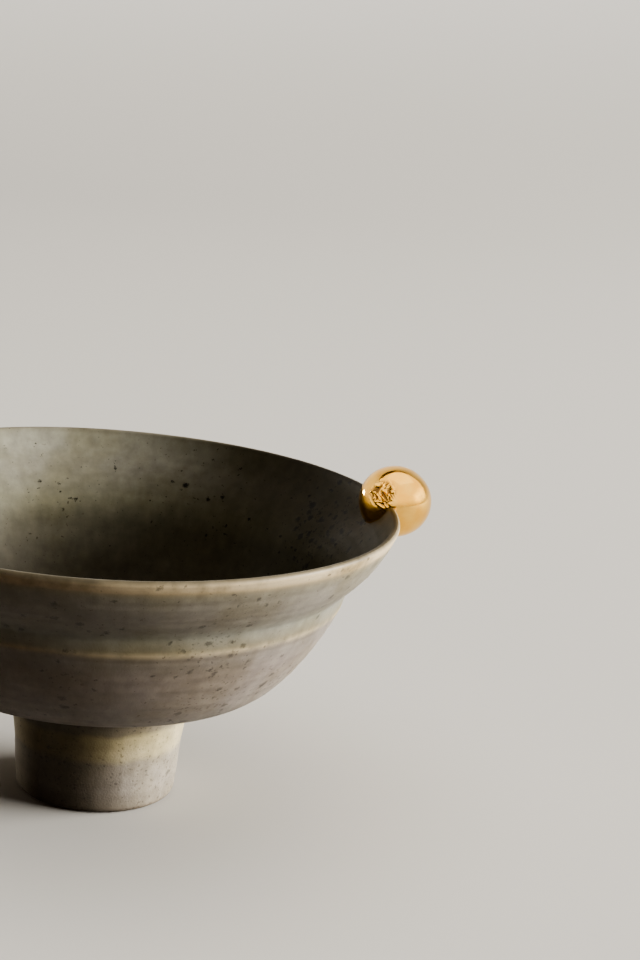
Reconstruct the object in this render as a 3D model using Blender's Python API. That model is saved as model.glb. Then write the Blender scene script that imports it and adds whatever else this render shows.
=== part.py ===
"""Footed bowl: a wheel-thrown stoneware bowl on a hollow foot, with a gold ball slotted over its lip.

Units are metres, +Z is up, and the bowl stands on its foot at z = 0. The ball is on the +X side. The
origin lies under the middle of the whole outline, so the bowl's own axis is a little towards -X.

Every outline below is drawn in the half plane of radius and height, as pairs (radius, height). A wall's
slope is its angle from plumb, counted so that a positive slope runs down and in towards the axis.
"""
import math

import bmesh
import bpy
from mathutils import Vector
from mathutils.geometry import interpolate_bezier

MM = 0.001

# Sizes of the bowl, outside
RIM_RADIUS = 125.0 * MM        # widest point of the lip
HEIGHT = 132.0 * MM            # from the table to the top of the lip
LIP_ROLL = 1.7 * MM            # radius of the rounded lip
LIP_SLOPE = math.radians(24.3)       # slope of the wall just under the lip
SHOULDER_SLOPE = math.radians(46.2)  # slope of the upper wall where it meets the step
RIDGE_RADIUS = 103.6 * MM      # the proud edge under the step
RIDGE_DROP = 36.8 * MM         # how far the ridge lies below the top of the lip
RIDGE_SLOPE = math.radians(21.5)     # slope of the lower wall just under the ridge
RIDGE_ROUND = 1.5 * MM         # rounding of the ridge
STEP_HEIGHT = 8.2 * MM         # from the ridge up to the root of the step
STEP_SLOPE = math.radians(14.4)      # slope of the step's face
STEP_FILLET = 10.0 * MM        # hollow rounding at the root of the step
KEEL_RADIUS = 70.0 * MM        # where the lower wall has turned under
KEEL_RISE = 2.0 * MM           # height of the keel above the top of the foot
KEEL_SLOPE = math.radians(83.0)      # slope of the wall at the keel, nearly flat

# Sizes of the bowl, inside
STEP_WALL = 5.2 * MM           # thickness of the wall at the ridge
INNER_STEP_SLOPE = math.radians(21.0)  # slope of the inside behind the ridge
FLOOR_THICKNESS = 7.0 * MM     # thickness of the floor over the foot

# Sizes of the foot
FOOT_HEIGHT = 51.5 * MM        # from the table to the underside of the bowl
FOOT_TOP_RADIUS = 39.8 * MM
FOOT_BOTTOM_RADIUS = 34.3 * MM
FOOT_WALL = 6.5 * MM
FOOT_SHIFT = 2.2 * MM          # the foot was set on by hand, a touch towards the ball
FOOT_EDGE = 3.0 * MM           # rounding of the outer edge that stands on the table
FOOT_INNER_EDGE = 1.0 * MM     # rounding of the inner edge that stands on the table
COLLAR_FILLET = 16.0 * MM      # wide hollow of clay wiped into the joint of foot and bowl
CAVITY_FILLET = 6.0 * MM       # rounding of the ceiling inside the foot

# Sizes of the ball
BALL_RADIUS = 16.2 * MM        # half its width
BALL_SQUASH = 0.97             # its height as a share of its width, because it was rolled by hand
BALL_OUT = 5.4 * MM            # its centre, outwards from the middle of the lip
BALL_LIFT = 0.6 * MM           # its centre, above the middle of the lip
SLOT_GAP = 0.3 * MM            # clearance between the slot and the lip

# Fullness of the long curves: each handle as a share of the straight distance, upper end first
UPPER_WALL_PULLS = (0.43, 0.44)
LOWER_WALL_PULLS = (0.28, 0.22)
INNER_WALL_PULLS = (0.36, 0.44)
FLOOR_PULLS = (0.42, 0.64)

# Fineness
SIDES = 72             # flats once round the bowl
UPPER_WALL_STEPS = 6
LOWER_WALL_STEPS = 9
INNER_WALL_STEPS = 8
FLOOR_STEPS = 8
LIP_STEPS = 6
HOLLOW_STEPS = 3
EDGE_STEPS = 2
COLLAR_STEPS = 5
CAVITY_STEPS = 3
BALL_SIDES = 32
BALL_RINGS = 18

# Places that follow from the sizes
LIP_CENTRE = Vector((RIM_RADIUS - LIP_ROLL, HEIGHT - LIP_ROLL))
RIDGE = Vector((RIDGE_RADIUS, HEIGHT - RIDGE_DROP))
STEP_ROOT = RIDGE + STEP_HEIGHT * Vector((math.tan(STEP_SLOPE), 1.0))
KEEL = Vector((KEEL_RADIUS, FOOT_HEIGHT + KEEL_RISE))
FOOT_TOP = Vector((FOOT_TOP_RADIUS, FOOT_HEIGHT))
BALL_AXIS_DISTANCE = LIP_CENTRE.x + BALL_OUT
BALL_OVERHANG = BALL_AXIS_DISTANCE + BALL_RADIUS - RIM_RADIUS
BOWL_X = -BALL_OVERHANG / 2

STONEWARE = ("glazed_stoneware", (0.235, 0.215, 0.165, 1.0), 0.48, 0.0)
GOLD = ("gold_lustre", (0.90, 0.62, 0.26, 1.0), 0.10, 1.0)


def along(slope):
    """Unit step down a wall of the given slope."""
    return Vector((-math.sin(slope), -math.cos(slope)))


def inward(slope):
    """Unit step from a wall of the given slope into the bowl."""
    return Vector((-math.cos(slope), math.sin(slope)))


def curve(start, start_slope, end, end_slope, pulls, steps):
    """Bezier from start to end that leaves and arrives at the given slopes.

    Each pull is the length of that end's handle as a share of the straight distance.
    """
    reach = (end - start).length
    first = start + along(start_slope) * reach * pulls[0]
    last = end - along(end_slope) * reach * pulls[1]
    knots = [Vector((point.x, point.y, 0.0)) for point in (start, first, last, end)]
    return [point.to_2d() for point in interpolate_bezier(*knots, steps + 1)]


def arc(centre, radius, first_angle, last_angle, steps):
    """Points of an arc, with both of its ends."""
    points = []
    for step in range(steps + 1):
        angle = first_angle + (last_angle - first_angle) * step / steps
        points.append(centre + radius * Vector((math.cos(angle), math.sin(angle))))
    return points


def fillet(corner, into, out, radius, steps):
    """Arc that rounds a corner between two unit directions of travel."""
    turn = math.atan2(into.x * out.y - into.y * out.x, into.dot(out))
    start = corner - into * radius * math.tan(abs(turn) / 2)
    side = math.copysign(1.0, turn)
    centre = start + side * radius * Vector((-into.y, into.x))
    first_angle = math.atan2(start.y - centre.y, start.x - centre.x)
    return arc(centre, radius, first_angle, first_angle + turn, steps)


def lip_arc(grow=0.0):
    """The rounded lip, from the inside over the top to the outside."""
    return arc(LIP_CENTRE, LIP_ROLL + grow, math.pi - LIP_SLOPE, -LIP_SLOPE, LIP_STEPS)


def inner_wall(grow=0.0):
    """The inside from behind the ridge up to the lip."""
    behind_ridge = RIDGE + inward(RIDGE_SLOPE) * (STEP_WALL + grow)
    lip = LIP_CENTRE + inward(LIP_SLOPE) * (LIP_ROLL + grow)
    wall = curve(lip, LIP_SLOPE, behind_ridge, INNER_STEP_SLOPE, INNER_WALL_PULLS, INNER_WALL_STEPS)
    return wall[::-1]


def inner_floor():
    """The inside from the middle of the floor up to behind the ridge."""
    middle = Vector((0.0, FOOT_HEIGHT + FLOOR_THICKNESS))
    behind_ridge = RIDGE + inward(RIDGE_SLOPE) * STEP_WALL
    flat = math.pi / 2
    wall = curve(behind_ridge, INNER_STEP_SLOPE, middle, flat, FLOOR_PULLS, FLOOR_STEPS)
    return wall[::-1]


def outer_upper_wall(grow=0.0):
    """The outside from the lip down into the hollow of the step."""
    shoulder = along(SHOULDER_SLOPE)
    face = along(STEP_SLOPE)
    root = STEP_ROOT - inward(STEP_SLOPE) * grow
    hollow = fillet(root, shoulder, face, STEP_FILLET - grow, HOLLOW_STEPS)
    lip = LIP_CENTRE - inward(LIP_SLOPE) * (LIP_ROLL + grow)
    wall = curve(lip, LIP_SLOPE, hollow[0], SHOULDER_SLOPE, UPPER_WALL_PULLS, UPPER_WALL_STEPS)
    return wall + hollow[1:]


def outer_lower_wall():
    """The outside from the ridge down to the keel and in to the foot."""
    edge = fillet(RIDGE, along(STEP_SLOPE), along(RIDGE_SLOPE), RIDGE_ROUND, EDGE_STEPS)
    wall = curve(edge[-1], RIDGE_SLOPE, KEEL, KEEL_SLOPE, LOWER_WALL_PULLS, LOWER_WALL_STEPS)
    return edge + wall[1:]


def foot_outside():
    """The joint under the bowl, the tapered side and the rounded outer edge."""
    base = (FOOT_TOP - KEEL).normalized()
    bottom = Vector((FOOT_BOTTOM_RADIUS, 0.0))
    side = (bottom - FOOT_TOP).normalized()
    collar = fillet(FOOT_TOP, base, side, COLLAR_FILLET, COLLAR_STEPS)
    return collar + fillet(bottom, side, Vector((-1.0, 0.0)), FOOT_EDGE, HOLLOW_STEPS)


def foot_inside():
    """The inner edge on the table, the inside of the foot and its ceiling."""
    up = (FOOT_TOP - Vector((FOOT_BOTTOM_RADIUS, 0.0))).normalized()
    to_axis = Vector((-1.0, 0.0))
    ring = Vector((FOOT_BOTTOM_RADIUS - FOOT_WALL, 0.0))
    corner = ring + up * (FOOT_HEIGHT / up.y)
    edge = fillet(ring, to_axis, up, FOOT_INNER_EDGE, EDGE_STEPS)
    ceiling = fillet(corner, up, to_axis, CAVITY_FILLET, CAVITY_STEPS)
    return edge + ceiling + [Vector((0.0, FOOT_HEIGHT))]


def spun(name, points, closed):
    """Mesh of an outline turned once round the Z axis; an outline that isn't closed ends on the axis."""
    mesh = bpy.data.meshes.new(name)
    shape = bmesh.new()
    verts = [shape.verts.new((point.x, 0.0, point.y)) for point in points]
    edges = [shape.edges.new(pair) for pair in zip(verts, verts[1:])]
    if closed:
        edges.append(shape.edges.new((verts[-1], verts[0])))
    bmesh.ops.spin(shape, geom=verts + edges, cent=(0, 0, 0), axis=(0, 0, 1), dvec=(0, 0, 0),
                   angle=2 * math.pi, steps=SIDES, use_merge=True, use_duplicate=False)
    bmesh.ops.remove_doubles(shape, verts=shape.verts, dist=0.00001)
    bmesh.ops.recalc_face_normals(shape, faces=shape.faces)
    shape.to_mesh(mesh)
    shape.free()
    return mesh


def placed(name, mesh, location):
    """Object of a mesh, in the scene."""
    item = bpy.data.objects.new(name, mesh)
    item.location = location
    bpy.context.collection.objects.link(item)
    return item


def finish_material(item, settings):
    """Give an object its own Principled material."""
    name, colour, roughness, metallic = settings
    material = bpy.data.materials.new(name)
    material.use_nodes = True
    shader = material.node_tree.nodes["Principled BSDF"]
    shader.inputs["Base Color"].default_value = colour
    shader.inputs["Roughness"].default_value = roughness
    shader.inputs["Metallic"].default_value = metallic
    material.diffuse_color = colour
    item.data.materials.append(material)


def shift_foot(mesh):
    """Move the foot off the bowl's axis; the flat base between keel and collar takes up the difference."""
    middle_of_base = (FOOT_TOP_RADIUS + COLLAR_FILLET + KEEL_RADIUS) / 2
    middle_of_floor = FOOT_HEIGHT + FLOOR_THICKNESS / 2
    for vert in mesh.vertices:
        near_axis = math.hypot(vert.co.x, vert.co.y) < middle_of_base
        if near_axis and vert.co.z < middle_of_floor:
            vert.co.x += FOOT_SHIFT


def make_bowl():
    """The bowl and its foot, one piece of clay."""
    outline = inner_floor() + inner_wall()[1:] + lip_arc()[1:] + outer_upper_wall()[1:]
    outline += outer_lower_wall() + foot_outside() + foot_inside()
    mesh = spun("footed_bowl", outline, closed=False)
    shift_foot(mesh)
    mesh.shade_smooth()
    bowl = placed("footed_bowl", mesh, (BOWL_X, 0.0, 0.0))
    finish_material(bowl, STONEWARE)
    return bowl


def make_slot_cutter():
    """The lip and upper wall grown by the clearance, which the ball's slot has to clear."""
    outline = inner_wall(SLOT_GAP) + lip_arc(SLOT_GAP)[1:] + outer_upper_wall(SLOT_GAP)[1:]
    cutter = placed("slot_cutter", spun("slot_cutter", outline, closed=True), (BOWL_X, 0.0, 0.0))
    cutter.hide_render = True
    cutter.display_type = "WIRE"
    return cutter


def make_ball(cutter):
    """The gold ball, with a slot from below that takes the lip."""
    mesh = bpy.data.meshes.new("gold_ball")
    shape = bmesh.new()
    bmesh.ops.create_uvsphere(shape, u_segments=BALL_SIDES, v_segments=BALL_RINGS, radius=BALL_RADIUS)
    bmesh.ops.scale(shape, vec=(1.0, 1.0, BALL_SQUASH), verts=shape.verts)
    shape.to_mesh(mesh)
    shape.free()
    mesh.shade_smooth()
    height = LIP_CENTRE.y + BALL_LIFT
    ball = placed("gold_ball", mesh, (BOWL_X + BALL_AXIS_DISTANCE, 0.0, height))
    finish_material(ball, GOLD)
    slot = ball.modifiers.new("slot", "BOOLEAN")
    slot.operation = "DIFFERENCE"
    slot.object = cutter
    slot.solver = "EXACT"
    return ball


def main():
    for item in list(bpy.data.objects):
        bpy.data.objects.remove(item, do_unlink=True)
    make_bowl()
    make_ball(make_slot_cutter())


main()
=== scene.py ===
# %% [markdown]
# # A footed stoneware bowl with a gold ball on its lip
#
# The bowl was thrown on a wheel: a wide open form with a step half way up its wall, luted to a hollow
# foot, dipped in a satin ash glaze and fired. A small clay ball with a slot cut from below sits astride
# the lip and carries a mirror gold lustre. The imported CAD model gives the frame, so every size below is
# in metres in its coordinates: the table is z = 0, and the ball is on the +X side.

# %% Load the CAD frame
import math

import bpy
import numpy as np
from mathutils import Matrix, Vector


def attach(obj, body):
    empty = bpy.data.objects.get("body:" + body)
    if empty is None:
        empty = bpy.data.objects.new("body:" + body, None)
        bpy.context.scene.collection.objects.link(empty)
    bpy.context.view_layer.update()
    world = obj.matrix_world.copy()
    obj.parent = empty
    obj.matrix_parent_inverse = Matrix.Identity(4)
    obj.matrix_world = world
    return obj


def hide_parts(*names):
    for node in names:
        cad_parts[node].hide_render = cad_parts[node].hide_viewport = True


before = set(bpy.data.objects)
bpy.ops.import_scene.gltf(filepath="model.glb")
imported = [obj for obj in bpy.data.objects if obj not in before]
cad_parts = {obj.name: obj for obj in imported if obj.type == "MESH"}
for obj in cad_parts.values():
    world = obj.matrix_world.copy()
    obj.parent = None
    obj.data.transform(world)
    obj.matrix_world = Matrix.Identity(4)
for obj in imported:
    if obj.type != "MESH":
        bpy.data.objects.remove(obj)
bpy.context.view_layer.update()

MM = 0.001
print("CAD nodes:", sorted(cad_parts))

# %% [markdown]
# ## Camera
#
# The photograph looks down at the bowl at about 14 degrees and leans a little to one side, and the left
# part of the bowl is outside the picture. Its place was worked out from the two ellipses of the lip, so
# the camera is given by where it stands and by three turns: heading, pitch and roll.

# %% Camera at the photograph's viewing angle
CAMERA_PLACE = Vector((-184.0, -895.5, 374.1)) * MM
HEADING = math.radians(16.625)   # to the right of +Y
PITCH = math.radians(14.062)     # downwards
ROLL = math.radians(5.071)
FOCAL_LENGTH = 82.5              # for a picture 36 mm tall

camera_data = bpy.data.cameras.new("camera")
camera_data.sensor_fit = "VERTICAL"
camera_data.sensor_height = 36.0
camera_data.lens = FOCAL_LENGTH
camera_data.clip_end = 50.0
camera = bpy.data.objects.new("camera", camera_data)
turns = Matrix.Rotation(-HEADING, 4, "Z") @ Matrix.Rotation(math.pi / 2 - PITCH, 4, "X")
camera.matrix_world = Matrix.Translation(CAMERA_PLACE) @ turns @ Matrix.Rotation(ROLL, 4, "Z")
bpy.context.collection.objects.link(camera)
bpy.context.scene.camera = camera
print("camera stands", round(CAMERA_PLACE.length * 1000), "mm from the origin")

# %% [markdown]
# ## Two small helpers
#
# Colours are written as sRGB hex, as a potter would pick them from a test tile, and one function turns
# them into the linear values that Blender works with. One more function adds a shader node, and three
# settings that many nodes share have names.

# %% Colours and nodes
def linear(code, alpha=1.0):
    """Linear colour of an sRGB hex code: below 0.04045 divide by 12.92, above it the 2.4 power curve."""
    parts = np.array([int(code[i:i + 2], 16) for i in (1, 3, 5)]) / 255
    straight = parts / 12.92
    curved = ((parts + 0.055) / 1.055) ** 2.4
    return (*np.where(parts <= 0.04045, straight, curved).tolist(), alpha)


def add(tree, kind, settings=None, inputs=None):
    """Add a node of a kind, with its settings, and with each input set to a value or linked to an output."""
    item = tree.nodes.new("ShaderNode" + kind)
    for name, value in (settings or {}).items():
        setattr(item, name, value)
    for name, value in (inputs or {}).items():
        if isinstance(value, bpy.types.NodeSocket):
            tree.links.new(value, item.inputs[name])
        else:
            item.inputs[name].default_value = value
    return item


# Settings that several nodes share
SMOOTH = {"interpolation_type": "SMOOTHSTEP"}
COLOUR_MIX = {"data_type": "RGBA"}
COLOUR_MULTIPLY = {"data_type": "RGBA", "blend_type": "MULTIPLY"}
print("glaze test tile #93897A is", [round(c, 3) for c in linear("#93897A")])

# %% [markdown]
# ## Studio
#
# A plain pale floor bends up into a wall all round, so no edge shows from any side. It is a turned shape:
# every point is a radius times the cosine and the sine of its angle, and a height. Reflections see the
# paper, but it sends no diffuse light back to the bowl, which would flatten the bowl's shade.

# %% Pale sweep
SWEEP_COLOUR = "#C9C6C0"
SWEEP_FLOOR = 2.0                # radius of the flat floor
SWEEP_BEND = 2.4                 # radius of the bend from floor to wall
SWEEP_TOP = 4.6
SWEEP_COLUMNS = 96
SWEEP_GLOW = 0.30                # the wall is lit a little from behind, so that it is as pale as the floor


def plain_mesh(name, points, faces):
    """Mesh of an array of points and a list of faces, shaded smooth."""
    mesh = bpy.data.meshes.new(name)
    mesh.from_pydata(points.tolist(), [], faces)
    mesh.shade_smooth()
    return mesh


def placed(name, mesh):
    """Object of a mesh, at the origin, in the scene."""
    item = bpy.data.objects.new(name, mesh)
    bpy.context.collection.objects.link(item)
    return item


bend = np.linspace(0, np.pi / 2, 25)
sweep_radius = np.append(SWEEP_FLOOR + SWEEP_BEND * np.sin(bend), SWEEP_FLOOR + SWEEP_BEND)[:, None]
sweep_height = np.append(SWEEP_BEND * (1 - np.cos(bend)), SWEEP_TOP)[:, None]
column = np.arange(SWEEP_COLUMNS)[None, :]
way = column * 2 * np.pi / SWEEP_COLUMNS
sweep_points = np.stack([
    sweep_radius * np.cos(way),
    sweep_radius * np.sin(way),
    sweep_height * np.ones_like(way),
], axis=2).reshape(-1, 3)
row = np.arange(len(sweep_radius) - 1)[:, None] * SWEEP_COLUMNS
next_row = row + SWEEP_COLUMNS
after = (column + 1) % SWEEP_COLUMNS
corners = [row + column, next_row + column, next_row + after, row + after]
sweep_faces = np.stack(corners, axis=2).reshape(-1, 4)
flat_floor = list(range(SWEEP_COLUMNS))
sweep = placed("sweep", plain_mesh("sweep", sweep_points, sweep_faces.tolist() + [flat_floor]))

paper = bpy.data.materials.new("backdrop_paper")
paper.use_nodes = True
paper_shader = paper.node_tree.nodes["Principled BSDF"]
paper_shader.inputs["Base Color"].default_value = linear(SWEEP_COLOUR)
paper_shader.inputs["Roughness"].default_value = 0.9
paper_tree = paper.node_tree
paper_height = add(paper_tree, "SeparateXYZ", inputs={0: add(paper_tree, "TexCoord").outputs["Object"]})
glow = add(paper_tree, "MapRange", SMOOTH,
           {"Value": paper_height.outputs["Z"], "From Max": 0.5, "To Max": SWEEP_GLOW})
paper_shader.inputs["Emission Color"].default_value = linear("#F4F1EC")
paper_tree.links.new(glow.outputs[0], paper_shader.inputs["Emission Strength"])
sweep.data.materials.append(paper)
sweep.visible_diffuse = False
sweep.visible_shadow = False     # the wall keeps no light out, so lights may stand behind it
print("sweep has", len(sweep_faces), "faces")

# %% [markdown]
# One wide soft light stands at the right, low as a window is and beyond the sweep, whose wall casts no
# shadow. So the left side and the bowl's inside fall into shade. A weak light overhead and a dim warm
# world fill that shade. Another light keeps the paper evenly pale, and light linking keeps it off the bowl.

# %% Soft lights
def soft_light(name, place, target, size, watts, colour):
    """Square area light at a place, aimed at a target."""
    data = bpy.data.lights.new(name, "AREA")
    data.size = size
    data.energy = watts
    data.color = linear(colour)[:3]
    lamp = bpy.data.objects.new(name, data)
    lamp.location = place
    lamp.rotation_euler = (Vector(target) - Vector(place)).to_track_quat("-Z", "Y").to_euler()
    lamp.visible_camera = False
    bpy.context.collection.objects.link(lamp)
    return lamp


def light_only(source, *items):
    """Let a light source reach these objects and no others, by light linking."""
    receivers = bpy.data.collections.new("lit_by_" + source.name)
    for item in items:
        receivers.objects.link(item)
    source.light_linking.receiver_collection = receivers


window = soft_light("window", (6.2, -1.40, 2.04), (0.0, 0.0, 0.08), 5.6, 1280.0, "#FFFCF6")
window.data.shape = "RECTANGLE"
window.data.size_y = 2.8
soft_light("overhead", (0.4, 0.3, 1.7), (0.0, 0.0, 0.0), 1.4, 2.2, "#FFF8EC")
paper_light = soft_light("paper_light", (0.0, 0.3, 3.6), (0.0, 0.3, 0.0), 5.0, 120.0, "#FFFCF6")
light_only(paper_light, sweep)

world = bpy.data.worlds.new("studio")
world.use_nodes = True
world.node_tree.nodes["Background"].inputs["Color"].default_value = linear("#A2886F")
world.node_tree.nodes["Background"].inputs["Strength"].default_value = 0.10
bpy.context.scene.world = world
bpy.context.scene.view_settings.look = "AgX - Medium High Contrast"
print("the window is", window.data.size, "by", window.data.size_y, "m")

# %% [markdown]
# ## The bowl's outline
#
# A thrown bowl is a surface of revolution, so its whole shape is one line in the half plane of radius and
# height. The line below runs from the middle of the floor up the inside, over the lip, down the outside
# and the foot, and up the foot's hollow to its ceiling. It has the sizes of the CAD model, with more
# points. Slopes are measured from plumb, and a positive slope runs down and in towards the axis.

# %% Sizes of the bowl
RIM_RADIUS = 125.0 * MM
HEIGHT = 132.0 * MM
LIP_ROLL = 1.7 * MM
LIP_SLOPE = math.radians(24.3)
SHOULDER_SLOPE = math.radians(46.2)
RIDGE_RADIUS = 103.6 * MM
RIDGE_DROP = 36.8 * MM
RIDGE_SLOPE = math.radians(21.5)
RIDGE_ROUND = 1.5 * MM
STEP_HEIGHT = 8.2 * MM
STEP_SLOPE = math.radians(14.4)
STEP_FILLET = 10.0 * MM
KEEL_RADIUS = 70.0 * MM
KEEL_RISE = 2.0 * MM
KEEL_SLOPE = math.radians(83.0)
STEP_WALL = 5.2 * MM
INNER_STEP_SLOPE = math.radians(21.0)
FLOOR_THICKNESS = 7.0 * MM
FOOT_HEIGHT = 51.5 * MM
FOOT_TOP_RADIUS = 39.8 * MM
FOOT_BOTTOM_RADIUS = 34.3 * MM
FOOT_WALL = 6.5 * MM
FOOT_SHIFT = 2.2 * MM
FOOT_EDGE = 3.0 * MM
FOOT_INNER_EDGE = 1.0 * MM
COLLAR_FILLET = 16.0 * MM
CAVITY_FILLET = 6.0 * MM
BOWL_X = -9.95 * MM              # the bowl's axis, which the ball's overhang moves off the origin

LIP_CENTRE = np.array([RIM_RADIUS - LIP_ROLL, HEIGHT - LIP_ROLL])
RIDGE = np.array([RIDGE_RADIUS, HEIGHT - RIDGE_DROP])
STEP_ROOT = RIDGE + STEP_HEIGHT * np.array([math.tan(STEP_SLOPE), 1.0])
KEEL = np.array([KEEL_RADIUS, FOOT_HEIGHT + KEEL_RISE])
FOOT_TOP = np.array([FOOT_TOP_RADIUS, FOOT_HEIGHT])
FOOT_BOTTOM = np.array([FOOT_BOTTOM_RADIUS, 0.0])
TO_AXIS = np.array([-1.0, 0.0])
print("lip centre at", LIP_CENTRE / MM, "mm, ridge at", RIDGE / MM, "mm")

# %% [markdown]
# Three kinds of line make the outline: a Bezier curve between two known slopes, an arc, and a fillet that
# rounds a corner. Each is worked out for all of its points at once.

# %% Lines of the outline
def along(slope):
    """Unit step down a wall of a slope: minus its sine, minus its cosine."""
    return np.array([-math.sin(slope), -math.cos(slope)])


def inward(slope):
    """Unit step from a wall of a slope into the bowl, at right angles to it."""
    return np.array([-math.cos(slope), math.sin(slope)])


def curve(start, start_slope, end, end_slope, pulls, steps):
    """Cubic Bezier: the four points weigh in by the powers of t and 1 - t, with weights 1, 3, 3, 1."""
    reach = np.linalg.norm(end - start)
    first_handle = start + along(start_slope) * reach * pulls[0]
    last_handle = end - along(end_slope) * reach * pulls[1]
    t = np.linspace(0, 1, steps + 1)[:, None]
    near = (1 - t) ** 3 * start + 3 * (1 - t) ** 2 * t * first_handle
    return near + 3 * (1 - t) * t ** 2 * last_handle + t ** 3 * end


def arc(centre, radius, start_angle, end_angle, steps):
    """Points at equal angles: the centre plus the radius times cosine and sine."""
    angle = np.linspace(start_angle, end_angle, steps + 1)
    return centre + radius * np.stack([np.cos(angle), np.sin(angle)], axis=1)


def fillet(corner, into, out, radius, steps):
    """Arc that touches both sides of a corner: it starts radius times the tangent of half the turn away."""
    turn = math.atan2(into[0] * out[1] - into[1] * out[0], into @ out)
    start = corner - into * radius * math.tan(abs(turn) / 2)
    centre = start + math.copysign(radius, turn) * np.array([-into[1], into[0]])
    start_angle = math.atan2(start[1] - centre[1], start[0] - centre[0])
    return arc(centre, radius, start_angle, start_angle + turn, steps)


def straight(start, end, steps):
    """Evenly spaced points between two ends, without the ends."""
    return start + (end - start) * np.linspace(0, 1, steps + 2)[1:-1, None]


def unit(step):
    """A step divided by its length."""
    return step / np.linalg.norm(step)


print("the lip's circle tops out at", arc(LIP_CENTRE, LIP_ROLL, 0, np.pi / 2, 4)[-1] / MM, "mm")

# %% [markdown]
# The pieces of line are joined from the floor to the ceiling of the foot. The distance travelled along
# the line from the top of the lip, negative inside and positive outside, tells the glaze later how far
# down the wall a place lies: glazes thin over edges and pool in hollows.

# %% The whole outline
def inner_wall(grow, steps):
    """The inside from behind the ridge up to the lip, moved into the bowl by grow."""
    behind_ridge = RIDGE + inward(RIDGE_SLOPE) * (STEP_WALL + grow)
    lip = LIP_CENTRE + inward(LIP_SLOPE) * (LIP_ROLL + grow)
    return curve(lip, LIP_SLOPE, behind_ridge, INNER_STEP_SLOPE, (0.36, 0.44), steps)[::-1]


def lip_top(grow, steps):
    """The rounded lip, from the inside over the top to the outside."""
    return arc(LIP_CENTRE, LIP_ROLL + grow, math.pi - LIP_SLOPE, -LIP_SLOPE, steps)


def outer_upper_wall(grow, steps, hollow_steps):
    """The outside from the lip down into the hollow of the step, moved outwards by grow."""
    root = STEP_ROOT - inward(STEP_SLOPE) * grow
    hollow = fillet(root, along(SHOULDER_SLOPE), along(STEP_SLOPE), STEP_FILLET - grow, hollow_steps)
    lip = LIP_CENTRE - inward(LIP_SLOPE) * (LIP_ROLL + grow)
    wall = curve(lip, LIP_SLOPE, hollow[0], SHOULDER_SLOPE, (0.43, 0.44), steps)
    return np.vstack([wall, hollow[1:]])


behind_ridge = RIDGE + inward(RIDGE_SLOPE) * STEP_WALL
floor_middle = np.array([0.0, FOOT_HEIGHT + FLOOR_THICKNESS])
floor_line = curve(behind_ridge, INNER_STEP_SLOPE, floor_middle, math.pi / 2, (0.42, 0.64), 56)[::-1]
inside_line = inner_wall(0.0, 40)
lip_line = lip_top(0.0, 16)
upper_line = outer_upper_wall(0.0, 40, 12)
ridge_line = fillet(RIDGE, along(STEP_SLOPE), along(RIDGE_SLOPE), RIDGE_ROUND, 8)
lower_line = curve(ridge_line[-1], RIDGE_SLOPE, KEEL, KEEL_SLOPE, (0.28, 0.22), 56)

foot_side = unit(FOOT_BOTTOM - FOOT_TOP)
collar_line = fillet(FOOT_TOP, unit(FOOT_TOP - KEEL), foot_side, COLLAR_FILLET, 24)
edge_line = fillet(FOOT_BOTTOM, foot_side, TO_AXIS, FOOT_EDGE, 8)
ring_inside = FOOT_BOTTOM + TO_AXIS * FOOT_WALL
inner_edge_line = fillet(ring_inside, TO_AXIS, -foot_side, FOOT_INNER_EDGE, 4)
cavity_corner = ring_inside - foot_side * (FOOT_HEIGHT / -foot_side[1])
cavity_line = fillet(cavity_corner, -foot_side, TO_AXIS, CAVITY_FILLET, 8)
ceiling = np.array([0.0, FOOT_HEIGHT])

parts = [
    ("floor", floor_line),
    ("inside", inside_line[1:]),
    ("lip", lip_line[1:]),
    ("upper", upper_line[1:]),
    ("face", straight(upper_line[-1], ridge_line[0], 5)),
    ("ridge", ridge_line),
    ("lower", lower_line[1:]),
    ("base", straight(KEEL, collar_line[0], 10)),
    ("collar", collar_line),
    ("foot", straight(collar_line[-1], edge_line[0], 20)),
    ("edge", edge_line),
    ("ring", straight(edge_line[-1], inner_edge_line[0], 3)),
    ("inner_edge", inner_edge_line),
    ("cavity_side", straight(inner_edge_line[-1], cavity_line[0], 14)),
    ("cavity", cavity_line),
    ("ceiling", np.vstack([straight(cavity_line[-1], ceiling, 11), ceiling])),
]
outline = np.vstack([points for _, points in parts])
ends = np.cumsum([len(points) for _, points in parts])
span = {name: (end - len(points), end) for (name, points), end in zip(parts, ends)}
travelled = np.concatenate([[0.0], np.cumsum(np.linalg.norm(np.diff(outline, axis=0), axis=1))])
crest = span["lip"][0] + len(lip_line) // 2 - 1
wall_distance = travelled - travelled[crest]
print("outline of", len(outline), "points,", round(travelled[-1] / MM), "mm long")

# %% [markdown]
# ## Turning the outline
#
# The outline is carried round the axis on a grid of outline points by angles. A real bowl is never as
# true as a lathe makes it, so three small reliefs are added along the surface's own normal: the rings the
# throwing fingers left, a shallow groove under the ridge with a waist in the foot, and a slow unevenness
# of a few tenths of a millimetre in the rim, which fades out where the ball's slot holds the lip.

# %% The bowl's surface
AROUND = 280
RING_HEIGHT = 0.045 * MM
GROOVE_DEPTH = 0.22 * MM
GROOVE_BELOW_RIDGE = 3.6 * MM
WAIST_DEPTH = 0.45 * MM
RIM_UNEVEN = 0.35 * MM


def outline_normals(line):
    """Unit normals on the line's left when walking down it, from the step between each point's neighbours."""
    step = np.gradient(line, axis=0)
    normal = np.stack([-step[:, 1], step[:, 0]], axis=1)
    return normal / np.maximum(np.linalg.norm(normal, axis=1, keepdims=True), 1e-12)


def bump(where, centre, width):
    """Bell curve of height 1: e to the minus square of the distance over the width."""
    return np.exp(-((where - centre) / width) ** 2)


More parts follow.
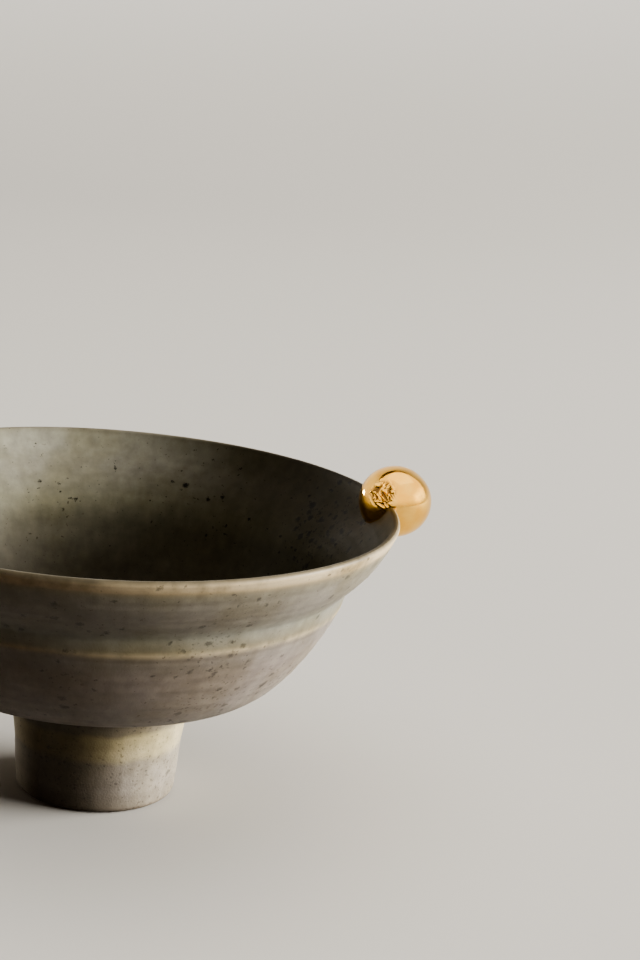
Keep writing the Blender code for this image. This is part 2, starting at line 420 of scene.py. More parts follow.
angles = np.arange(AROUND) * 2 * np.pi / AROUND
normals = outline_normals(outline)
normals[0] = (0.0, 1.0)
normals[-1] = (0.0, -1.0)
distance = wall_distance[:, None]
turn_share = angles[None, :] / (2 * np.pi)

rings = np.sin(2 * np.pi * (distance / (6.1 * MM) + turn_share))
rings = rings + 0.7 * np.sin(2 * np.pi * (distance / (9.7 * MM) - turn_share) + 1.9)
rings = rings + 0.5 * np.sin(2 * np.pi * (distance / (3.9 * MM) + 2 * turn_share) + 0.6)
calm = 1 - bump(distance, 0.0, 5 * MM)
ring_place = wall_distance[sum(span["ridge"]) // 2]
calm = calm * (1 - bump(distance, ring_place, 3 * MM))
near_end = np.zeros(len(outline))
near_end[span["floor"][0]:span["base"][0]] = 1.0
near_end[span["foot"][0]:span["foot"][1]] = 0.8
relief = RING_HEIGHT * rings * calm * near_end[:, None] * np.clip(outline[:, :1] / (20 * MM), 0, 1)

relief = relief - GROOVE_DEPTH * bump(distance, ring_place + GROOVE_BELOW_RIDGE, 1.0 * MM)
on_foot = np.zeros(len(outline))
on_foot[span["foot"][0]:span["edge"][0]] = 1.0
relief = relief - WAIST_DEPTH * (on_foot * bump(outline[:, 1], 24 * MM, 8 * MM))[:, None]

rise = np.clip((outline[:, 1] - FOOT_HEIGHT) / (HEIGHT - FOOT_HEIGHT), 0, 1)[:, None] ** 2
free = 1 - np.exp(-(((angles + np.pi) % (2 * np.pi) - np.pi) / math.radians(22)) ** 2)[None, :]
sway = np.cos(2 * angles + 0.8) + 0.6 * np.cos(3 * angles + 2.1) + 0.3 * np.cos(7 * angles + 0.4)
nod = 0.7 * np.cos(2 * angles - 0.9) + 0.5 * np.cos(5 * angles + 1.3)
radius = outline[:, :1] + normals[:, :1] * relief + RIM_UNEVEN * rise * free * sway[None, :]
height = outline[:, 1:] + normals[:, 1:] * relief - RIM_UNEVEN * rise * free * (0.6 + 0.5 * nod[None, :])

in_foot = np.zeros(len(outline))
in_foot[span["base"][0]:] = 1.0
base_run = slice(*span["base"])
in_foot[base_run] = np.linspace(0, 1, span["base"][1] - span["base"][0])
shift = FOOT_SHIFT * in_foot[:, None]
grid = np.stack([
    BOWL_X + shift + radius * np.cos(angles),
    radius * np.sin(angles),
    height * np.ones(AROUND),
], axis=2)
print("grid of", grid.shape[0], "by", grid.shape[1], "points")

# %% [markdown]
# Both ends of the outline lie on the axis, so their rings of points shrink to one point each and the
# faces beside them are triangles. A sum of the corner products of every face gives the enclosed volume,
# and its sign tells whether the faces point outwards.

# %% Mesh of the bowl
def closed_grid(name, rows):
    """Mesh of a grid whose first and last rows are single points: quads between rows, triangles at the ends.

    A face's corners are the row times the number of columns plus the column, with the column wrapping.
    """
    row_count, columns, _ = rows.shape
    middle = rows[1:-1].reshape(-1, 3)
    points = np.vstack([rows[0].mean(axis=0), middle, rows[-1].mean(axis=0)])
    column = np.arange(columns)
    after = (column + 1) % columns
    row = np.arange(row_count - 3)[:, None] * columns + 1
    quads = np.stack([row + column, row + columns + column, row + columns + after, row + after], axis=2)
    last = len(points) - 1
    lowest = last - columns
    first_fan = np.stack([np.zeros_like(column), 1 + column, 1 + after], axis=1)
    last_fan = np.stack([np.full_like(column, last), lowest + after, lowest + column], axis=1)
    triangles = np.vstack([first_fan, last_fan])
    quads = quads.reshape(-1, 4)
    split = np.vstack([triangles, quads[:, :3], quads[:, [0, 2, 3]]])
    a, b, c = (points[split[:, k]] for k in range(3))
    volume = np.einsum("ij,ij->i", a, np.cross(b, c)).sum() / 6
    if volume < 0:
        quads = quads[:, ::-1]
        triangles = triangles[:, ::-1]
    mesh = bpy.data.meshes.new(name)
    mesh.from_pydata(points.tolist(), [], quads.tolist() + triangles.tolist())
    mesh.shade_smooth()
    print(name, "has", len(split), "triangles and holds", round(abs(volume) * 1e6, 1), "cm3")
    return mesh


def keep_attribute(mesh, name, values):
    """Store one number per point of a closed grid, for the materials to read."""
    ends_once = np.concatenate([values[0, :1], values[1:-1].reshape(-1), values[-1, :1]])
    mesh.attributes.new(name, "FLOAT", "POINT").data.foreach_set("value", ends_once.astype(np.float32))


bowl_mesh = closed_grid("footed_bowl", grid)
everywhere = np.ones((1, AROUND))
keep_attribute(bowl_mesh, "wall_mm", wall_distance[:, None] / MM * everywhere)
thin = bump(wall_distance, 3.4 * MM, 1.9 * MM) + 0.42 * bump(wall_distance, ring_place, 1.2 * MM)
keep_attribute(bowl_mesh, "thin", thin[:, None] * everywhere)
bowl = placed("stoneware_bowl", bowl_mesh)

# %% [markdown]
# ## The gold ball
#
# The ball was rolled by hand, so it is a sphere pressed a little flat, with a slow waviness that a mirror
# finish shows clearly. On the side towards the bowl's inside there is a patch of crumpled clay about a
# third of the ball wide. Its folds are ridges made from waves: one minus the size of a sine has a sharp
# crest at every half wave. Two attributes tell the material where the patch is and how deep in a crease a
# place lies.

# %% The ball's surface
BALL_RADIUS = 16.2 * MM
BALL_SQUASH = 0.97
BALL_OUT = 5.4 * MM
BALL_LIFT = 0.6 * MM
BALL_ROWS = 145
BALL_COLUMNS = 288
SLOT_GAP = 0.3 * MM
PATCH_ANGLE = math.radians(21)
PATCH_DIRECTION = unit(np.array([-0.62, -0.67, 0.41]))
PATCH_EDGE = math.radians(1.6)
PATCH_DEPTH = 0.15 * MM
WAVE_HEIGHT = 0.16 * MM          # of the slow waviness all over
FOLD_HEIGHT = 2.28 * MM          # of a fold if all of its waves crested at once
FOLD_LENGTHS = np.array([0.46, 0.34, 0.27, 0.22, 0.19, 0.15, 0.12])   # in ball radii
FOLD_SHARES = np.array([0.30, 0.22, 0.16, 0.12, 0.09, 0.06, 0.05])
FOLD_MEAN = 0.22                 # taken off, so that the folds rise and fall about the round ball
BALL_CENTRE = np.array([BOWL_X + LIP_CENTRE[0] + BALL_OUT, 0.0, LIP_CENTRE[1] + BALL_LIFT])

chance = np.random.default_rng(7)


def waves(directions, lengths, phases, points):
    """Sines of the points' distance along each direction, over each wave length."""
    return np.sin(2 * np.pi * (points @ directions.T) / lengths + phases)


polar = np.linspace(0, np.pi, BALL_ROWS)[:, None]
round_angle = np.arange(BALL_COLUMNS)[None, :] * 2 * np.pi / BALL_COLUMNS
sphere = np.stack([
    np.sin(polar) * np.cos(round_angle),
    np.sin(polar) * np.sin(round_angle),
    np.cos(polar) * np.ones_like(round_angle),
], axis=2)

slow_ways = chance.normal(size=(6, 3))
slow_ways = slow_ways / np.linalg.norm(slow_ways, axis=1, keepdims=True)
slow = waves(slow_ways, chance.uniform(0.7, 1.6, 6), chance.uniform(0, 6.28, 6), sphere).mean(axis=2)
fold_ways = chance.normal(size=(7, 3))
fold_ways = fold_ways / np.linalg.norm(fold_ways, axis=1, keepdims=True)
swirl = sphere + 0.10 * np.sin(7 * sphere[..., [1, 2, 0]] + 2.0) + 0.05 * np.sin(17 * sphere[..., [2, 0, 1]])
folds = waves(fold_ways, FOLD_LENGTHS, chance.uniform(0, 6.28, 7), swirl)
folds = (1 - np.abs(folds)) ** 2 @ FOLD_SHARES - FOLD_MEAN
off_patch = np.arccos(np.clip(sphere @ PATCH_DIRECTION, -1, 1))
patch = 1 / (1 + np.exp((off_patch - PATCH_ANGLE) / PATCH_EDGE))
ball_radius = BALL_RADIUS + WAVE_HEIGHT * slow + (FOLD_HEIGHT * folds - PATCH_DEPTH) * patch
ball_grid = BALL_CENTRE + sphere * ball_radius[..., None] * np.array([1.0, 1.0, BALL_SQUASH])
ball_mesh = closed_grid("gold_ball", ball_grid)
keep_attribute(ball_mesh, "crumpled", patch)
keep_attribute(ball_mesh, "crease", np.clip(0.2 - folds / 0.06, 0, 1) * patch)
ball = placed("lustre_ball", ball_mesh)

# %% [markdown]
# The slot is the shape of the lip and the upper wall, grown by a small clearance, so it is cut with that
# very shape: a sector of the grown outline, carried round the bowl's axis past both sides of the ball.
# This is the one place where a Boolean is simpler than a formula. Its result replaces the ball's mesh,
# so no cutter stays in the scene.

# %% The slot
SLOT_HALF_ANGLE = math.radians(12)
SLOT_COLUMNS = 41
slot_outline = np.vstack([
    inner_wall(SLOT_GAP, 40),
    lip_top(SLOT_GAP, 16)[1:],
    outer_upper_wall(SLOT_GAP, 40, 12)[1:],
])
slot_angles = np.linspace(-SLOT_HALF_ANGLE, SLOT_HALF_ANGLE, SLOT_COLUMNS)
slot_grid = np.stack([
    BOWL_X + slot_outline[:, :1] * np.cos(slot_angles),
    slot_outline[:, :1] * np.sin(slot_angles),
    slot_outline[:, 1:] * np.ones(SLOT_COLUMNS),
], axis=2)
rows, columns = slot_grid.shape[:2]
row = np.arange(rows)[:, None]
column = np.arange(columns - 1)[None, :]
below = (row + 1) % rows
sides = np.stack([
    row * columns + column,
    row * columns + column + 1,
    below * columns + column + 1,
    below * columns + column,
], axis=2).reshape(-1, 4)
start_cap = (np.arange(rows) * columns).tolist()
end_cap = (np.arange(rows)[::-1] * columns + columns - 1).tolist()
cutter_mesh = bpy.data.meshes.new("slot_cutter")
cutter_mesh.from_pydata(slot_grid.reshape(-1, 3).tolist(), [], sides.tolist() + [start_cap, end_cap])
cutter = placed("slot_cutter", cutter_mesh)
cut = ball.modifiers.new("slot", "BOOLEAN")
cut.operation = "DIFFERENCE"
cut.object = cutter
cut.solver = "EXACT"
graph = bpy.context.evaluated_depsgraph_get()
cut_mesh = bpy.data.meshes.new_from_object(ball.evaluated_get(graph))
ball.modifiers.clear()
ball.data = cut_mesh
cut_mesh.set_sharp_from_angle(angle=math.radians(35))
bpy.data.objects.remove(cutter, do_unlink=True)
print("the slotted ball has", len(cut_mesh.polygons), "faces")

# %% [markdown]
# ## A tent for the gold
#
# A mirror looks like whatever stands round it, so photographers hang pale cloth round shiny things. The
# tent is part of a large globe that opens away from the camera. It is linked to the ball, so it lights
# nothing else, and no camera sees it. The dark rim on the ball is the gap behind the tent. The cloth hangs
# from above, where its lamps are, so it is dimmer towards the table.

# %% Tent round the ball
TENT_RADIUS = 2.6
TENT_OPENING = math.radians(92)
TENT_MIDDLE = unit(np.array([0.03, -0.88, 0.47]))
TENT_LIGHT = 1.6
TENT_ROWS = 24
TENT_COLUMNS = 49

tilt = np.linspace(0.001, TENT_OPENING, TENT_ROWS)[:, None, None]
spin = np.linspace(0, 2 * np.pi, TENT_COLUMNS)[None, :, None]
across = unit(np.cross(TENT_MIDDLE, np.array([0.0, 0.0, 1.0])))
upward = np.cross(across, TENT_MIDDLE)
tent_grid = TENT_RADIUS * (np.cos(tilt) * TENT_MIDDLE
                           + np.sin(tilt) * (np.cos(spin) * across + np.sin(spin) * upward))
corner = np.arange(TENT_ROWS - 1)[:, None] * TENT_COLUMNS + np.arange(TENT_COLUMNS - 1)[None, :]
corners = [corner, corner + 1, corner + TENT_COLUMNS + 1, corner + TENT_COLUMNS]
tent_faces = np.stack(corners, axis=2).reshape(-1, 4)
tent = placed("tent", plain_mesh("tent", tent_grid.reshape(-1, 3), tent_faces.tolist()))
tent.visible_camera = False
tent.visible_diffuse = False
tent.visible_shadow = False

cloth = bpy.data.materials.new("lit_tent_cloth")
cloth.use_nodes = True
cloth_shader = cloth.node_tree.nodes["Principled BSDF"]
cloth_shader.inputs["Base Color"].default_value = (0.0, 0.0, 0.0, 1.0)
cloth_shader.inputs["Emission Color"].default_value = linear("#FFF6E6")
cloth_tree = cloth.node_tree
cloth_height = add(cloth_tree, "SeparateXYZ", inputs={0: add(cloth_tree, "TexCoord").outputs["Object"]})
cloth_light = add(cloth_tree, "MapRange", SMOOTH,
                  {"Value": cloth_height.outputs["Z"], "From Min": -0.4, "From Max": 1.0,
                   "To Min": 0.3 * TENT_LIGHT, "To Max": TENT_LIGHT})
cloth_tree.links.new(cloth_light.outputs[0], cloth_shader.inputs["Emission Strength"])
tent.data.materials.append(cloth)
light_only(tent, ball)
print("tent has", len(tent_faces), "faces")

# %% [markdown]
# The far side of the bowl, which the photograph doesn't show, gets a weak light of its own. It stands
# lower than the lip, so the inside keeps its shade.

# %% Light for the far side
far_side = soft_light("far_side", (-0.95, 1.45, 0.07), (0.0, 0.0, 0.07), 0.36, 14.0, "#FFF8EC")
light_only(far_side, bowl, ball)

# %% [markdown]
# ## Glaze
#
# The bowl wears a satin ash glaze over iron-bearing stoneware: olive to taupe where it is thick, pale and
# bluish where it pools in the step's hollow, tan where it runs thin over the lip and the ridge. Iron
# particles in the clay melt through as dark specks. The foot has a thinner coat that stays creamy at its
# top. Two ramps give the colour by the distance down the wall in millimetres, one outside and one inside.
# The colours were fitted to the photograph together with the lights, so the split between glaze and light
# is a guess, above all in the dark lower half of the inside.

# %% Glaze colours down the wall
def marker(name):
    """Distance of the middle of a part of the outline from the top of the lip, in millimetres."""
    return float(wall_distance[sum(span[name]) // 2] / MM)


# The hollow's arc has 12 steps, so its middle lies 7 points before the end of the upper wall
hollow_at = float(wall_distance[span["upper"][1] - 7] / MM)
ridge_at = marker("ridge")
keel_at = float(wall_distance[span["base"][0]] / MM)
collar_at = marker("collar")
foot_start = float(wall_distance[span["foot"][0]] / MM)
foot_end = float(wall_distance[span["edge"][0]] / MM)
ring_at = marker("ring")
inside_end = float(-wall_distance[0] / MM)
outside_end = float(wall_distance[-1] / MM)

outside_colours = [
    (0.0, "#7F7662"),
    (1.0, "#8F836B"),
    (2.2, "#C2AE8A"),
    (5.0, "#C4AE88"),
    (6.2, "#A99C82"),
    (8.0, "#9F9784"),
    (13.0, "#9D9689"),
    (22.0, "#9F978B"),
    (hollow_at - 5.0, "#9E988B"),
    (hollow_at, "#9D9B8E"),
    (ridge_at - 3.0, "#98917E"),
    (ridge_at - 1.0, "#9C9279"),
    (ridge_at + 0.4, "#ACA08A"),
    (ridge_at + 1.6, "#A2978A"),
    (ridge_at + 5.0, "#9A9188"),
    (ridge_at + 14.0, "#A69A91"),
    (keel_at - 20.0, "#A79C92"),
    (keel_at, "#A0968C"),
    (foot_start - 8.0, "#9A9186"),
    (foot_start - 1.0, "#A39985"),
    (foot_start + 1.5, "#D9CBA4"),
    (foot_start + 11.0, "#D8CBAA"),
    (foot_start + 14.0, "#B4AB9F"),
    (foot_end - 8.0, "#BAB1A7"),
    (foot_end, "#A89E90"),
    (ring_at - 2.0, "#877764"),
    (ring_at + 4.0, "#8A7B6E"),
    (outside_end, "#8A7F71"),
]
inside_colours = [
    (0.0, "#7F7662"),
    (1.5, "#959080"),
    (4.0, "#A2A091"),
    (20.0, "#A3A094"),
    (38.0, "#96937F"),
    (48.0, "#7A7665"),
    (70.0, "#767164"),
    (100.0, "#7D766A"),
    (inside_end, "#7F796C"),
]
print("mm down the wall: ridge", round(ridge_at, 1), "keel", round(keel_at, 1), "foot", round(foot_start, 1))

# %% [markdown]
# The material is built from the wall distance and the object coordinates, both of which stay with the
# bowl wherever it goes. A little noise moves the ramps up and down, more on the foot than above, so that
# no colour ends on a ruled line. Scales come from real sizes: a feature of so many millimetres repeats
# that often in a metre.

# %% Base colour of the glaze
def per_metre(size_mm):
    """How often a feature of a size in millimetres repeats in a metre."""
    return 1000.0 / size_mm


glaze = bpy.data.materials.new("satin_ash_glaze_on_stoneware")
glaze.use_nodes = True
tree = glaze.node_tree
glaze_shader = tree.nodes["Principled BSDF"]
space = add(tree, "TexCoord").outputs["Object"]
wall = add(tree, "Attribute", {"attribute_name": "wall_mm"}).outputs["Fac"]
thin_glaze = add(tree, "Attribute", {"attribute_name": "thin"}).outputs["Fac"]

edge_noise = add(tree, "TexNoise", inputs={"Vector": space, "Scale": per_metre(14), "Detail": 4.0})
wander = add(tree, "Math", {"operation": "MULTIPLY_ADD"}, {0: edge_noise.outputs["Fac"], 1: 5.0, 2: -2.5})
wander_share = add(tree, "MapRange", SMOOTH,
                   {"Value": wall, "From Min": ridge_at, "From Max": collar_at,
                    "To Min": 0.25, "To Max": 1.0})
wandered = add(tree, "Math", {"operation": "MULTIPLY_ADD"},
               {0: wander.outputs[0], 1: wander_share.outputs[0], 2: wall})


def colour_by_distance(tree, distance_socket, stops, reach):
    """Ramp of colours at distances in millimetres, from 0 to reach."""
    share = add(tree, "MapRange", inputs={"Value": distance_socket, "From Max": reach})
    ramp = add(tree, "ValToRGB", inputs={"Fac": share.outputs[0]})
    points = ramp.color_ramp.elements
    points[0].position = 0.0
    points[1].position = 1.0
    points[0].color = linear(stops[0][1])
    points[1].color = linear(stops[-1][1])
    for place, code in stops[1:-1]:
        points.new(place / reach).color = linear(code)
    return ramp.outputs["Color"]


outside_colour = colour_by_distance(tree, wandered.outputs[0], outside_colours, outside_end)
inner_distance = add(tree, "Math", {"operation": "MULTIPLY"}, {0: wandered.outputs[0], 1: -1.0})
inside_colour = colour_by_distance(tree, inner_distance.outputs[0], inside_colours, inside_end)
is_inside = add(tree, "Math", {"operation": "LESS_THAN"}, {0: wall, 1: 0.0})
base_colour = add(tree, "Mix", COLOUR_MIX, {0: is_inside.outputs[0], 6: outside_colour, 7: inside_colour})
print("ramps of", len(outside_colours), "colours outside and", len(inside_colours), "inside")

# %% [markdown]
# Three things make a glaze uneven. It mottles in clouds of 26 mm and 6 mm, darker olive and paler grey. It
# slides down the wall while molten, which leaves runs that are long in z and narrow around. And the
# throwing marks hold a little more or less of it, which makes bands.

# %% Mottling, runs and bands
clouds = add(tree, "TexNoise",
             inputs={"Vector": space, "Scale": per_metre(26), "Detail": 5.0, "Roughness": 0.55})
cloud_cover = add(tree, "MapRange", SMOOTH,
                  {"Value": clouds.outputs["Fac"], "From Min": 0.38, "From Max": 0.70, "To Max": 0.48})
clouded = add(tree, "Mix", COLOUR_MULTIPLY,
              {0: cloud_cover.outputs[0], 6: base_colour.outputs[2], 7: linear("#D9D4B8")})
fine = add(tree, "TexNoise",
           inputs={"Vector": space, "Scale": per_metre(6), "Detail": 6.0, "Roughness": 0.62})
fine_cover = add(tree, "MapRange", inputs={"Value": fine.outputs["Fac"], "From Min": 0.30, "From Max": 0.70,
                                           "To Min": 0.84, "To Max": 1.12})
mottled = add(tree, "Mix", COLOUR_MULTIPLY, {0: 1.0, 6: clouded.outputs[2], 7: fine_cover.outputs[0]})

run_space = add(tree, "Mapping", inputs={"Vector": space, "Scale": (1.0, 1.0, 0.12)})
runs = add(tree, "TexNoise", inputs={"Vector": run_space.outputs[0], "Scale": per_metre(5), "Detail": 3.0})
run_cover = add(tree, "MapRange", inputs={"Value": runs.outputs["Fac"], "From Min": 0.32, "From Max": 0.68,
                                          "To Min": 0.90, "To Max": 1.07})
streaked = add(tree, "Mix", COLOUR_MULTIPLY, {0: 1.0, 6: mottled.outputs[2], 7: run_cover.outputs[0]})

band_space = add(tree, "Mapping", inputs={"Vector": space, "Scale": (0.10, 0.10, 1.0)})
bands = add(tree, "TexNoise",
            inputs={"Vector": band_space.outputs[0], "Scale": per_metre(5.5), "Detail": 3.0})
band_cover = add(tree, "MapRange", inputs={"Value": bands.outputs["Fac"], "From Min": 0.32, "From Max": 0.68,
                                           "To Min": 0.96, "To Max": 1.03})
banded = add(tree, "Mix", COLOUR_MULTIPLY, {0: 1.0, 6: streaked.outputs[2], 7: band_cover.outputs[0]})
print("mottling takes", len(tree.nodes), "nodes so far")

# %% [markdown]
# This is painted shade. Here the glaze is darker inside by the ball and on the foot's other side, fading
# out along X, because with the lights alone both places came out lighter than in the photograph, which
# doesn't tell whether the real glaze is darker there. On the foot the darkening is partly painted shade and
# partly a darker glaze. So the two places are fitted to the picture, and under other light they may look
# darker than the real bowl. Where the glaze runs thin, over the lip and the ridge, the tan clay shows
# through in broken stretches.

# %% Painted shade in two places, and thin edges
# Where the painted shade starts and where it is full, inside by the ball and on the foot
INSIDE_PAINTED_SHADE = (0.04, 0.11)     # from none to full, in metres along X
FOOT_PAINTED_SHADE = (0.014, -0.030)
FOOT_SHADE_SHARE = 0.9                 # of what the inside gets

along_x = add(tree, "SeparateXYZ", inputs={0: space}).outputs["X"]
shade_by_ball = add(tree, "MapRange", SMOOTH,
              {"Value": along_x, "From Min": INSIDE_PAINTED_SHADE[0], "From Max": INSIDE_PAINTED_SHADE[1],
               "To Max": 1.0})
inside_shade_cover = add(tree, "Math", {"operation": "MULTIPLY"}, {0: shade_by_ball.outputs[0], 1: is_inside.outputs[0]})
on_foot_now = add(tree, "MapRange", SMOOTH,
                  {"Value": wall, "From Min": collar_at - 4.0, "From Max": collar_at + 4.0})
foot_shade_far_side = add(tree, "MapRange", SMOOTH,
                    {"Value": along_x, "From Min": FOOT_PAINTED_SHADE[1], "From Max": FOOT_PAINTED_SHADE[0],
                     "To Min": FOOT_SHADE_SHARE, "To Max": 0.0})
painted_shade_cover = add(tree, "Math", {"operation": "MULTIPLY_ADD"},
                   {0: foot_shade_far_side.outputs[0], 1: on_foot_now.outputs[0], 2: inside_shade_cover.outputs[0]})
# Painted shade: the glaze is multiplied towards #948E7E where the shade cover is high
shade_painted = add(tree, "Mix", COLOUR_MULTIPLY,
               {0: painted_shade_cover.outputs[0], 6: banded.outputs[2], 7: linear("#948E7E")})

break_noise = add(tree, "TexNoise",
                  inputs={"Vector": space, "Scale": per_metre(24), "Detail": 5.0, "Roughness": 0.6})
break_cover = add(tree, "MapRange", SMOOTH,
                  {"Value": break_noise.outputs["Fac"], "From Min": 0.36, "From Max": 0.58})
broken = add(tree, "Math", {"operation": "MULTIPLY"}, {0: thin_glaze, 1: break_cover.outputs[0]})
edged = add(tree, "Mix", COLOUR_MIX, {0: broken.outputs[0], 6: shade_painted.outputs[2], 7: linear("#EFDBB6")})
print("inside, the glaze darkens from x =", INSIDE_PAINTED_SHADE[0] / MM, "to", INSIDE_PAINTED_SHADE[1] / MM, "mm")

# %% [markdown]
# Iron in the clay melts through as dark specks. Each is a spot round the middle of a cell of a pattern,
# with a soft brown edge, and the wall cuts through the pattern, so a spot shows only where its cell's
# middle lies near the surface. A slow noise gathers the spots, because the iron isn't spread evenly, and
# two places have more of it. A fine noise frays their edges.

# %% Iron specks
IRON_RICH = [
    ((0.092, 0.015, 0.112), 1.05),   # inside by the ball
    ((0.018, -0.096, 0.075), 0.30),  # outside in front
]
IRON_REACH = 0.050
INSIDE_FEWER = -0.28
FRAY_MM = 3.2
JITTER = (0.0034, 0.0034, 0.0024)   # metres
SPOT_RISE = 1.7                  # over 1, so a spot is at full depth before its middle
SPOT_DEPTH = 0.9
gather = add(tree, "TexNoise", inputs={"Vector": space, "Scale": per_metre(34), "Detail": 2.0})
gathered = add(tree, "MapRange", inputs={"Value": gather.outputs["Fac"], "From Min": 0.36, "From Max": 0.64,
                                         "To Min": -0.50, "To Max": 0.25})
gathered = add(tree, "Math", {"operation": "MULTIPLY_ADD"},
               {0: is_inside.outputs[0], 1: INSIDE_FEWER, 2: gathered.outputs[0]})
for place, strength in IRON_RICH:
    far = add(tree, "VectorMath", {"operation": "DISTANCE"}, {0: space, 1: place})
    nearby = add(tree, "MapRange", SMOOTH,
                 {"Value": far.outputs["Value"], "From Max": IRON_REACH, "To Min": strength, "To Max": 0.0})
    gathered = add(tree, "Math", {"operation": "ADD"}, {0: gathered.outputs[0], 1: nearby.outputs[0]})
warp = add(tree, "TexNoise",
           inputs={"Vector": space, "Scale": per_metre(1.7), "Detail": 5.0, "Roughness": 0.65})
fray = add(tree, "TexNoise",
           inputs={"Vector": space, "Scale": per_metre(1.8), "Detail": 4.0, "Roughness": 0.7})
softer = add(tree, "MapRange", inputs={"Value": is_inside.outputs[0], "To Min": 0.62, "To Max": 1.0})
jitter = add(tree, "VectorMath", {"operation": "MULTIPLY_ADD"},
             {0: warp.outputs["Color"], 1: JITTER, 2: space})
# Each layer: cell in mm, largest radius as a share of the cell, share left empty, depth of colour,
# colour, and how many more show on the foot
speck_layers = [
    (1.9, 0.36, 0.68, 0.75, "#2C2119", 0.50),
    (5.2, 0.40, 0.34, 0.95, "#15100C", -0.15),
    (12.0, 0.22, 0.12, 1.00, "#150F0B", -0.30),
]
speckled = edged.outputs[2]
for cell_mm, reach, share, depth, code, more in speck_layers:
    flat = add(tree, "Mapping", inputs={"Vector": jitter.outputs[0], "Scale": (1.0, 1.0, 1.2)})
    cells = add(tree, "TexVoronoi", inputs={"Vector": flat.outputs[0], "Scale": per_metre(cell_mm)})
    luck = add(tree, "SeparateColor", inputs={"Color": cells.outputs["Color"]})
    local = add(tree, "Math", {"operation": "MULTIPLY_ADD"},
                {0: on_foot_now.outputs[0], 1: more, 2: gathered.outputs[0]})
    drawn = add(tree, "Math", {"operation": "ADD"}, {0: luck.outputs[0], 1: local.outputs[0]})
    size = add(tree, "MapRange", inputs={"Value": drawn.outputs[0], "From Min": share, "From Max": 1.1,
                                         "To Min": 0.0001, "To Max": reach})
    frayed = add(tree, "Math", {"operation": "MULTIPLY_ADD"},
                 {0: fray.outputs["Fac"], 1: FRAY_MM / cell_mm, 2: cells.outputs["Distance"]})
    off_middle = add(tree, "Math", {"operation": "SUBTRACT"},
                     {0: frayed.outputs[0], 1: FRAY_MM / 2 / cell_mm})
    spot = add(tree, "MapRange", inputs={"Value": off_middle.outputs[0], "From Min": size.outputs[0],
                                         "From Max": 0.0, "To Max": SPOT_RISE * depth})
    full = add(tree, "Math", {"operation": "MINIMUM"}, {0: spot.outputs[0], 1: SPOT_DEPTH * depth})
    cover = add(tree, "Math", {"operation": "MULTIPLY"}, {0: full.outputs[0], 1: softer.outputs[0]})
    tint = add(tree, "Mix", COLOUR_MIX, {0: cover.outputs[0], 6: speckled, 7: linear(code)})
    speckled = tint.outputs[2]

tree.links.new(speckled, glaze_shader.inputs["Base Color"])
print(len(speck_layers), "layers of specks, in cells of", [layer[0] for layer in speck_layers], "mm")

# %% [markdown]
# The glaze is satin, with a roughness of about 0.45 that varies with the clouds, and the ring that the
# bowl stands on is bare clay. The index of refraction is the usual one of a glaze, 1.5. The specular
# level, usually 0.5, is lower here, most of all inside: it offsets the reflection of the pale floor, so that
# the shade is as deep as in the photograph. That is fitted to the picture too and isn't known of this
# glaze, and in another scene it may look too matte. The coat on the foot is thin, so the sand in the clay
# shows through as a fine grain.

# %% Surface of the glaze
SPECULAR_OUTSIDE = 0.28
SPECULAR_INSIDE = 0.14
sheen_noise = add(tree, "MapRange", inputs={"Value": clouds.outputs["Fac"], "From Min": 0.3, "From Max": 0.7,
                                            "To Min": 0.36, "To Max": 0.52})
bare = add(tree, "MapRange", SMOOTH,
           {"Value": wall, "From Min": foot_end, "From Max": ring_at - 1.5, "To Min": 0.0, "To Max": 0.4})
roughness = add(tree, "Math", {"operation": "ADD", "use_clamp": True},
                {0: sheen_noise.outputs[0], 1: bare.outputs[0]})
tree.links.new(roughness.outputs[0], glaze_shader.inputs["Roughness"])
glaze_shader.inputs["IOR"].default_value = 1.5
shine = add(tree, "MapRange",
            inputs={"Value": is_inside.outputs[0], "To Min": SPECULAR_OUTSIDE, "To Max": SPECULAR_INSIDE})
tree.links.new(shine.outputs[0], glaze_shader.inputs["Specular IOR Level"])

grain = add(tree, "TexNoise", inputs={"Vector": space, "Scale": per_metre(0.9), "Detail": 3.0})
sandy = add(tree, "MapRange", SMOOTH,
            {"Value": wall, "From Min": collar_at, "From Max": collar_at + 12.0,
             "To Min": 0.25, "To Max": 0.55})
surface = add(tree, "Bump",
              inputs={"Height": grain.outputs["Fac"], "Strength": sandy.outputs[0], "Distance": 0.2 * MM})
tree.links.new(surface.outputs[0], glaze_shader.inputs["Normal"])
bowl.data.materials.append(glaze)
print("glaze material has", len(tree.nodes), "nodes")

# %% [markdown]
# ## Gold lustre
#
# Lustre is a film of real gold fired onto a glossy glaze, so it is a metal: coloured reflections, low
# roughness, and the faint brush marks of the liquid it was painted on with.

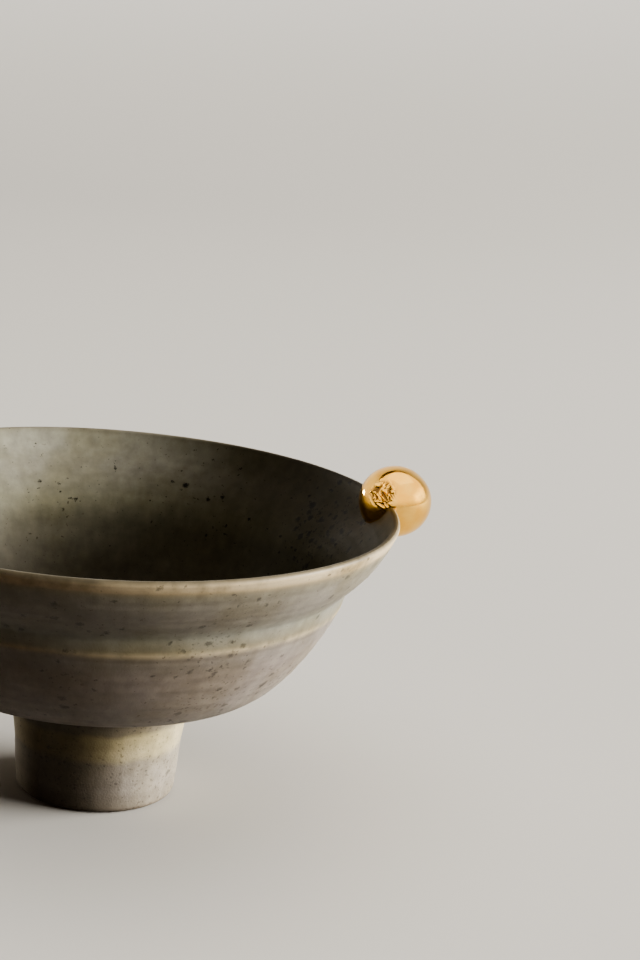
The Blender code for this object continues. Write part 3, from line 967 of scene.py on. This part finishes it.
# %% Gold lustre material
gold = bpy.data.materials.new("fired_gold_lustre")
gold.use_nodes = True
tree = gold.node_tree
gold_shader = tree.nodes["Principled BSDF"]
space = add(tree, "TexCoord").outputs["Object"]
crumpled = add(tree, "Attribute", {"attribute_name": "crumpled"}).outputs["Fac"]
film = add(tree, "TexNoise", inputs={"Vector": space, "Scale": per_metre(7), "Detail": 4.0})
film_cover = add(tree, "MapRange", inputs={"Value": film.outputs["Fac"], "From Min": 0.35, "From Max": 0.65})
gold_colour = add(tree, "Mix", COLOUR_MIX,
                  {0: film_cover.outputs[0], 6: linear("#FFCD6E"), 7: linear("#F8BD5A")})
# Painted shade: the creases are darkened towards brown, most where they lie deepest
crease = add(tree, "Attribute", {"attribute_name": "crease"}).outputs["Fac"]
crease_shade_cover = add(tree, "Math", {"operation": "MULTIPLY"}, {0: crease, 1: 0.92})
crease_shaded = add(tree, "Mix", COLOUR_MIX,
              {0: crease_shade_cover.outputs[0], 6: gold_colour.outputs[2], 7: linear("#5A4029")})
tree.links.new(crease_shaded.outputs[2], gold_shader.inputs["Base Color"])
gold_shader.inputs["Metallic"].default_value = 1.0
gloss = add(tree, "MapRange", inputs={"Value": film.outputs["Fac"], "From Min": 0.3, "From Max": 0.7,
                                      "To Min": 0.06, "To Max": 0.13})
tree.links.new(gloss.outputs[0], gold_shader.inputs["Roughness"])
brushed = add(tree, "TexNoise", inputs={"Vector": space, "Scale": per_metre(2.5), "Detail": 2.0})
fold_strength = add(tree, "MapRange", inputs={"Value": crumpled, "To Min": 0.10, "To Max": 0.5})
gold_bump = add(tree, "Bump", inputs={"Height": brushed.outputs["Fac"], "Strength": fold_strength.outputs[0],
                                      "Distance": 0.2 * MM})
tree.links.new(gold_bump.outputs[0], gold_shader.inputs["Normal"])
ball.data.materials.clear()
ball.data.materials.append(gold)
print("lustre material has", len(tree.nodes), "nodes")

# %% [markdown]
# ## Riding on the frame
#
# Both pieces stand for their CAD nodes and ride on the row's only body.

# %% Hand the pieces over and finish
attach(bowl, "root")
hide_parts("footed_bowl")
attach(ball, "root")
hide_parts("gold_ball")
